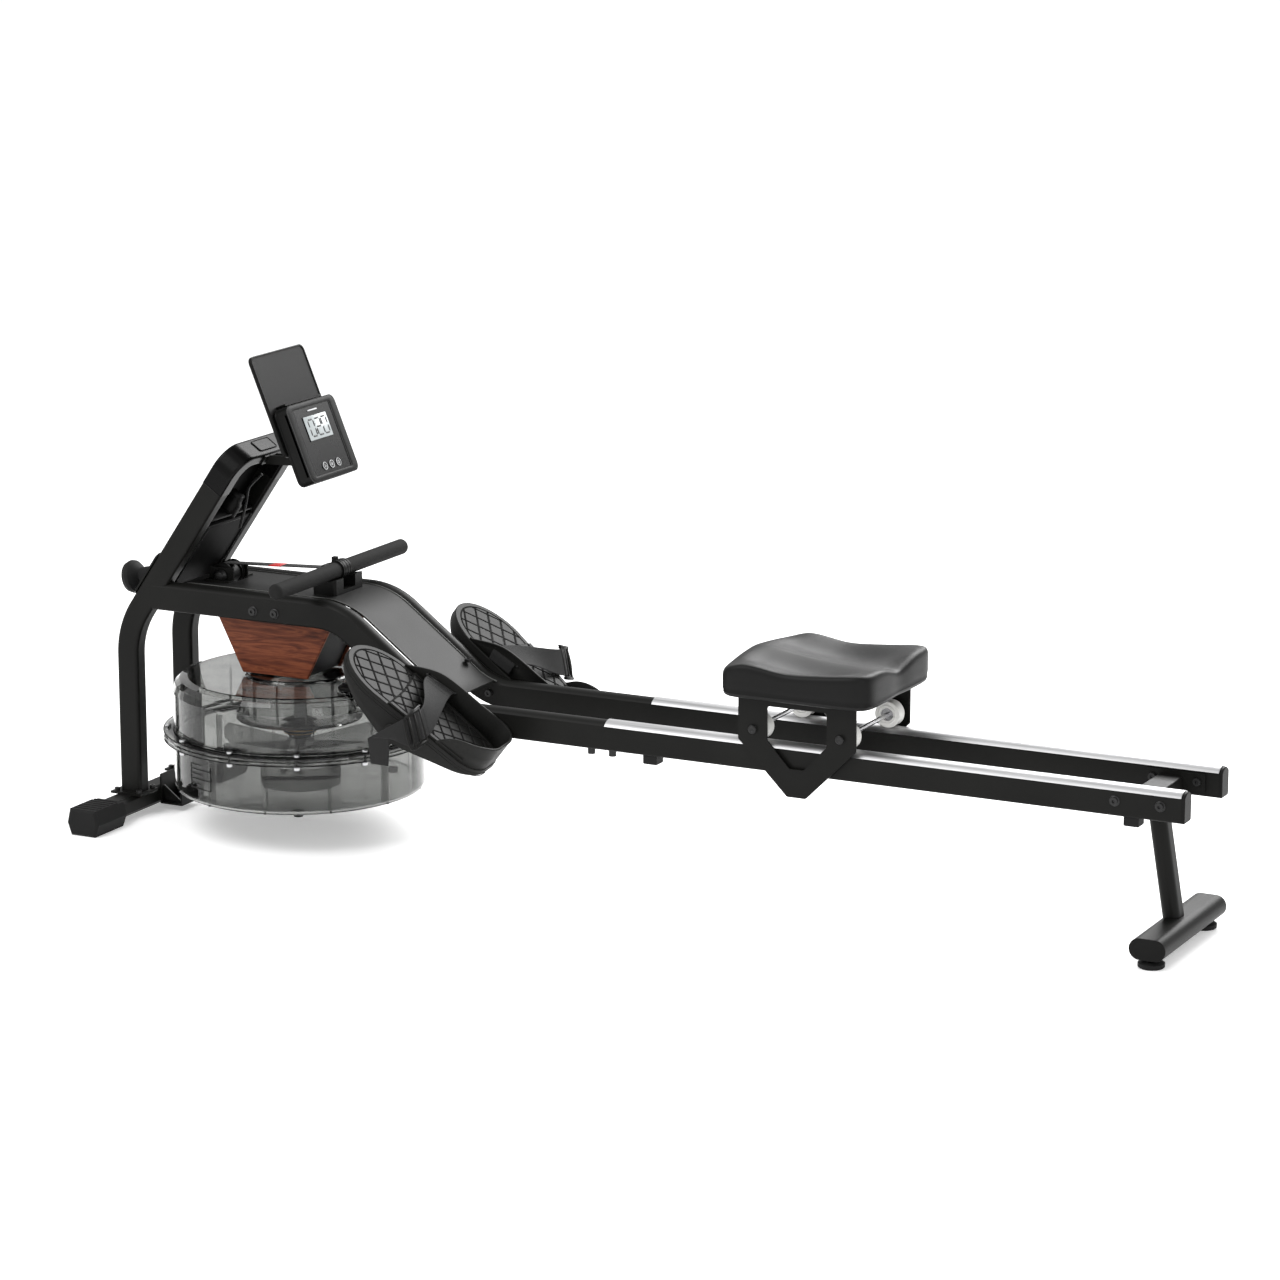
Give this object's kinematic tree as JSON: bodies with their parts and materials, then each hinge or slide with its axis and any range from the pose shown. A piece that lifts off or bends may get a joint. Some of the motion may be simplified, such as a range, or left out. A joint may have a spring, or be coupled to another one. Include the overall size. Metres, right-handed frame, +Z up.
{
  "type": "rowing machine",
  "caption": "Water-resistance rowing machine: twin-rail bent frame, sliding seat, round tank under a deck, pull handle on a strap, foot plates with straps, tilting console.",
  "frame": {"origin": "on the floor, at the middle of the machine's footprint box", "axes": "+X from the tank towards the seat end of the rails, +Y to the right hand of a rower who faces the tank, +Z up"},
  "size_m": [2.057, 0.586, 0.8503],
  "materials": {
    "frame_paint": "satin powder coat",
    "rubber": "matte",
    "grip_foam": "matte",
    "black_plastic": "fine textured",
    "gloss_black": "gloss",
    "button_plastic": "satin",
    "smoked_tank": "gloss",
    "wood": "satin varnish",
    "bright_strip": "brushed",
    "bolts": "black oxide",
    "steel": "satin",
    "roller_plastic": "satin",
    "webbing": "woven",
    "cable": "matte",
    "display": "gloss",
    "seat_foam": "moulded skin"
  },
  "bodies": {
    "frame": {"front_foot_bar": "frame_paint", "foot_caps": "rubber", "upright_left": "frame_paint", "upright_right": "frame_paint", "fasteners": "bolts", "beam_left": "frame_paint", "beam_right": "frame_paint", "rail_left": "frame_paint", "rail_right": "frame_paint", "rail_strips": "bright_strip", "tube_end_caps": "black_plastic", "rear_stand": "frame_paint", "seat_stops": "rubber", "deck_cover": "black_plastic", "bumper_plate": "frame_paint", "storage_bumper": "rubber", "front_panel": "black_plastic", "arch_cap": "gloss_black", "handle_rest": "black_plastic", "pulley_bracket": "frame_paint", "drive_housing": "black_plastic", "wood_panels": "wood", "tank_bowl": "smoked_tank", "tank_dome": "smoked_tank", "tank_gasket": "rubber", "tank_feet": "rubber", "sensor_cable": "cable", "console_arm": "frame_paint", "pedal_left": "black_plastic", "pedal_right": "black_plastic", "pull_strap": "webbing"},
    "seat_carriage": {"seat_pad": "seat_foam", "carriage_frame": "frame_paint", "roller_axles": "bolts", "roller_bearings": "steel"},
    "handle": {"handle_bar": "steel", "handle_grips": "grip_foam", "strap_clamp": "black_plastic"},
    "guide_pulley_wheel": {"guide_pulley": "black_plastic"},
    "spool": {"strap_spool": "black_plastic"},
    "paddle": {"drive_shaft": "steel", "impeller": "black_plastic"},
    "console": {"console_shell": "black_plastic", "console_lens": "gloss_black", "display_panel": "display", "tablet_holder": "black_plastic"},
    "left_button": {"console_button_left": "button_plastic"},
    "middle_button": {"console_button_middle": "button_plastic"},
    "right_button": {"console_button_right": "button_plastic"},
    "left_heel_cup": {"heel_cup_left": "black_plastic", "foot_strap_left": "webbing"},
    "right_heel_cup": {"heel_cup_right": "black_plastic", "foot_strap_right": "webbing"},
    "left_levelling_foot": {"levelling_foot_left": "rubber"},
    "right_levelling_foot": {"levelling_foot_right": "rubber"},
    "tank_plug": {"filler_plug": "black_plastic"},
    "front_left_roller": {"roller_front_left": "roller_plastic"},
    "front_right_roller": {"roller_front_right": "roller_plastic"},
    "rear_left_roller": {"roller_rear_left": "roller_plastic"},
    "rear_right_roller": {"roller_rear_right": "roller_plastic"}
  },
  "joints": [
    {"name": "seat_slide", "type": "slide", "parent": "frame", "child": "seat_carriage", "axis": [1, 0, 0], "range_m": [-0.2545, 0.56]},
    {"name": "handle_pull", "type": "slide", "parent": "frame", "child": "handle", "axis": [0.9781, 0, 0.2079], "range_m": [0, 1.3]},
    {"name": "guide_pulley_turn", "type": "hinge", "parent": "frame", "child": "guide_pulley_wheel", "pos_m": [-0.8105, 0, 0.442], "axis": [0, 1, 0], "continuous": true},
    {"name": "spool_turn", "type": "hinge", "parent": "frame", "child": "spool", "pos_m": [-0.6675, 0, 0.352], "axis": [0, 0, 1], "continuous": true},
    {"name": "paddle_turn", "type": "hinge", "parent": "frame", "child": "paddle", "pos_m": [-0.6675, 0, 0.25], "axis": [0, 0, 1], "continuous": true},
    {"name": "console_tilt", "type": "hinge", "parent": "frame", "child": "console", "pos_m": [-0.63413, 0, 0.66024], "axis": [0, 1, 0], "range_deg": [-12, 20]},
    {"name": "left_button_press", "type": "slide", "parent": "console", "child": "left_button", "axis": [-0.9239, 0, -0.3827], "range_m": [0, 0.001], "stiffness_N_per_m": 400, "springref_m": -0.001},
    {"name": "middle_button_press", "type": "slide", "parent": "console", "child": "middle_button", "axis": [-0.9239, 0, -0.3827], "range_m": [0, 0.001], "stiffness_N_per_m": 400, "springref_m": -0.001},
    {"name": "right_button_press", "type": "slide", "parent": "console", "child": "right_button", "axis": [-0.9239, 0, -0.3827], "range_m": [0, 0.001], "stiffness_N_per_m": 400, "springref_m": -0.001},
    {"name": "left_heel_cup_slide", "type": "slide", "parent": "frame", "child": "left_heel_cup", "axis": [0.7959, 0.0882, -0.5989], "range_m": [-0.045, 0.01]},
    {"name": "left_levelling_foot_turn", "type": "hinge", "parent": "frame", "child": "left_levelling_foot", "pos_m": [0.9865, -0.122, 0.006], "axis": [0, 0, 1], "continuous": true},
    {"name": "right_heel_cup_slide", "type": "slide", "parent": "frame", "child": "right_heel_cup", "axis": [0.7959, -0.0882, -0.5989], "range_m": [-0.045, 0.01]},
    {"name": "right_levelling_foot_turn", "type": "hinge", "parent": "frame", "child": "right_levelling_foot", "pos_m": [0.9865, 0.122, 0.006], "axis": [0, 0, 1], "continuous": true},
    {"name": "tank_plug_lift", "type": "slide", "parent": "frame", "child": "tank_plug", "axis": [0, 0, 1], "range_m": [0, 0.03]},
    {"name": "front_left_roller_turn", "type": "hinge", "parent": "seat_carriage", "child": "front_left_roller", "pos_m": [0.2772, -0.088, 0.3075], "axis": [0, 1, 0], "continuous": true},
    {"name": "front_right_roller_turn", "type": "hinge", "parent": "seat_carriage", "child": "front_right_roller", "pos_m": [0.2772, 0.088, 0.3075], "axis": [0, 1, 0], "continuous": true},
    {"name": "rear_left_roller_turn", "type": "hinge", "parent": "seat_carriage", "child": "rear_left_roller", "pos_m": [0.4352, -0.088, 0.3075], "axis": [0, 1, 0], "continuous": true},
    {"name": "rear_right_roller_turn", "type": "hinge", "parent": "seat_carriage", "child": "rear_right_roller", "pos_m": [0.4352, 0.088, 0.3075], "axis": [0, 1, 0], "continuous": true}
  ],
  "couplings": [
    {"joint": "guide_pulley_turn", "follows": "handle_pull", "rad_per_m": 50},
    {"joint": "spool_turn", "follows": "handle_pull", "rad_per_m": 34.483},
    {"joint": "front_left_roller_turn", "follows": "seat_slide", "rad_per_m": 49.505},
    {"joint": "front_right_roller_turn", "follows": "seat_slide", "rad_per_m": 49.505},
    {"joint": "rear_left_roller_turn", "follows": "seat_slide", "rad_per_m": 49.505},
    {"joint": "rear_right_roller_turn", "follows": "seat_slide", "rad_per_m": 49.505}
  ]
}
